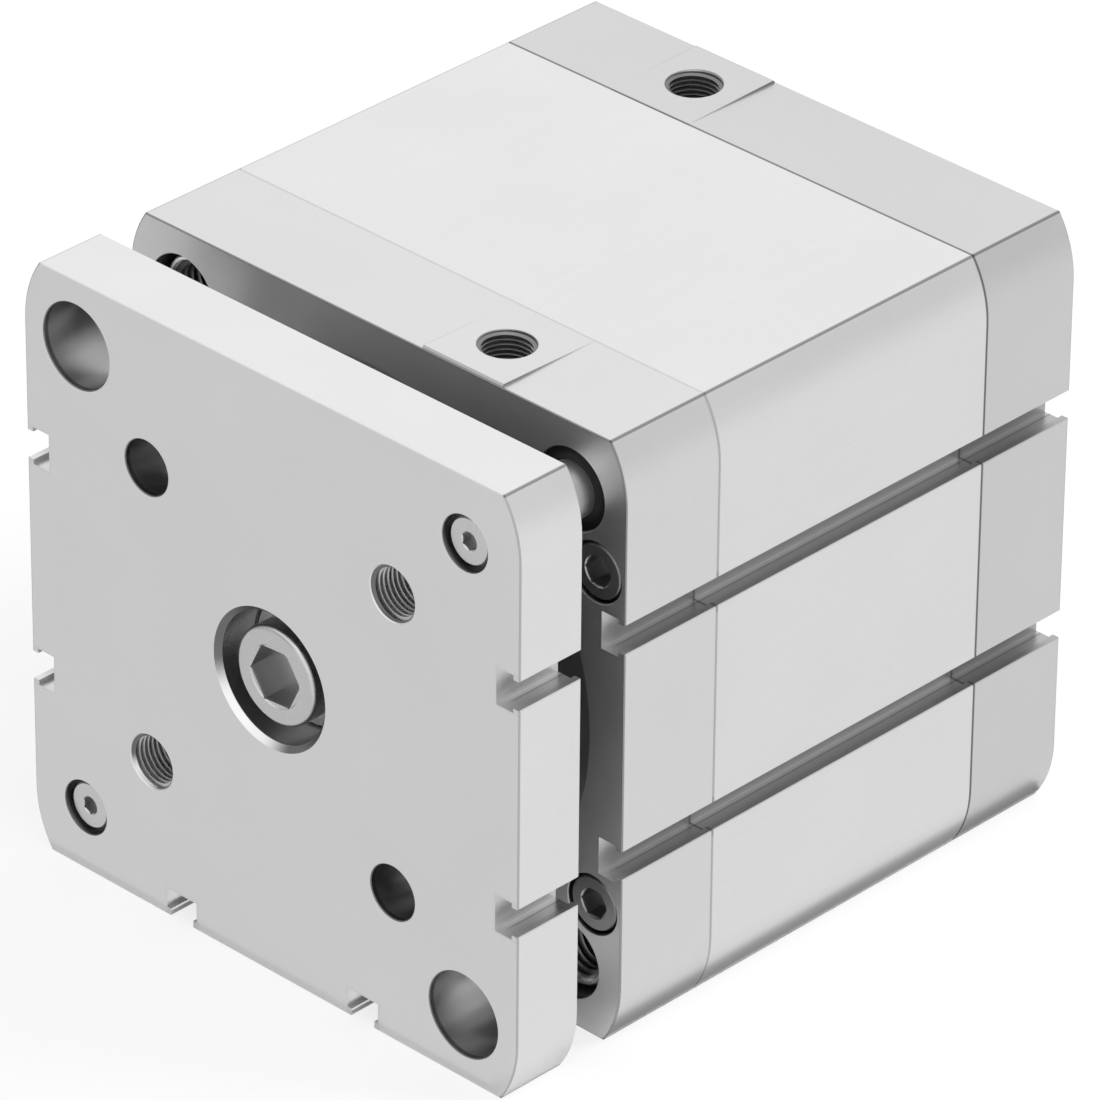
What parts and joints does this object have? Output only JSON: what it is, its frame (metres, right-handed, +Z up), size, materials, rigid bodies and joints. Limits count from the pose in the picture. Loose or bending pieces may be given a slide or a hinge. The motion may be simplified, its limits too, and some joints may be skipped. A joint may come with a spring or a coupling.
{
  "type": "guided pneumatic cylinder",
  "caption": "Compact square pneumatic cylinder with guide rods, a yoke plate with fixing holes, air ports on top and T-slots along the sides.",
  "frame": {"origin": "centre of the bounding box's base, below the cylinder axis", "axes": "X to the right seen from the plate, +Y from the plate to the rear along the cylinder axis, +Z up with the ports on top"},
  "size_m": [0.1134, 0.131, 0.1139],
  "materials": {
    "anodised_aluminium": "clear satin anodised",
    "steel": "zinc plated",
    "hard_chrome": "ground and hard chromed",
    "black_rubber": "matt",
    "bearing_bronze": "turned",
    "guide_band": "matt",
    "bonded_magnet": "matt"
  },
  "bodies": {
    "housing": {"front_cap": "anodised_aluminium", "barrel": "anodised_aluminium", "rear_cap": "anodised_aluminium", "tie_screws": "steel", "front_corner_screws": "steel", "rear_corner_screws": "steel", "rod_wiper_seal": "black_rubber", "front_bumper": "black_rubber", "rear_bumper": "black_rubber", "front_cap_seal": "black_rubber", "rear_cap_seal": "black_rubber", "upper_guide_wiper": "black_rubber", "lower_guide_wiper": "black_rubber", "rod_bush": "bearing_bronze", "upper_guide_front_bush": "bearing_bronze", "upper_guide_rear_bush": "bearing_bronze", "lower_guide_front_bush": "bearing_bronze", "lower_guide_rear_bush": "bearing_bronze"},
    "moving_group": {"yoke_plate": "anodised_aluminium", "yoke_centre_screw": "steel", "yoke_centre_washer": "steel", "guide_rod_screws": "steel", "upper_guide_rod": "hard_chrome", "lower_guide_rod": "hard_chrome", "piston_rod": "hard_chrome", "piston_front_disc": "anodised_aluminium", "piston_rear_disc": "anodised_aluminium", "piston_rod_seal": "black_rubber", "piston_magnet": "bonded_magnet", "piston_front_seal": "black_rubber", "piston_rear_seal": "black_rubber", "piston_guide_band": "guide_band", "piston_screw": "steel"}
  },
  "joints": [
    {"name": "plate_slide", "type": "slide", "parent": "housing", "child": "moving_group", "axis": [0, -1, 0], "range_m": [0, 0.04]}
  ]
}
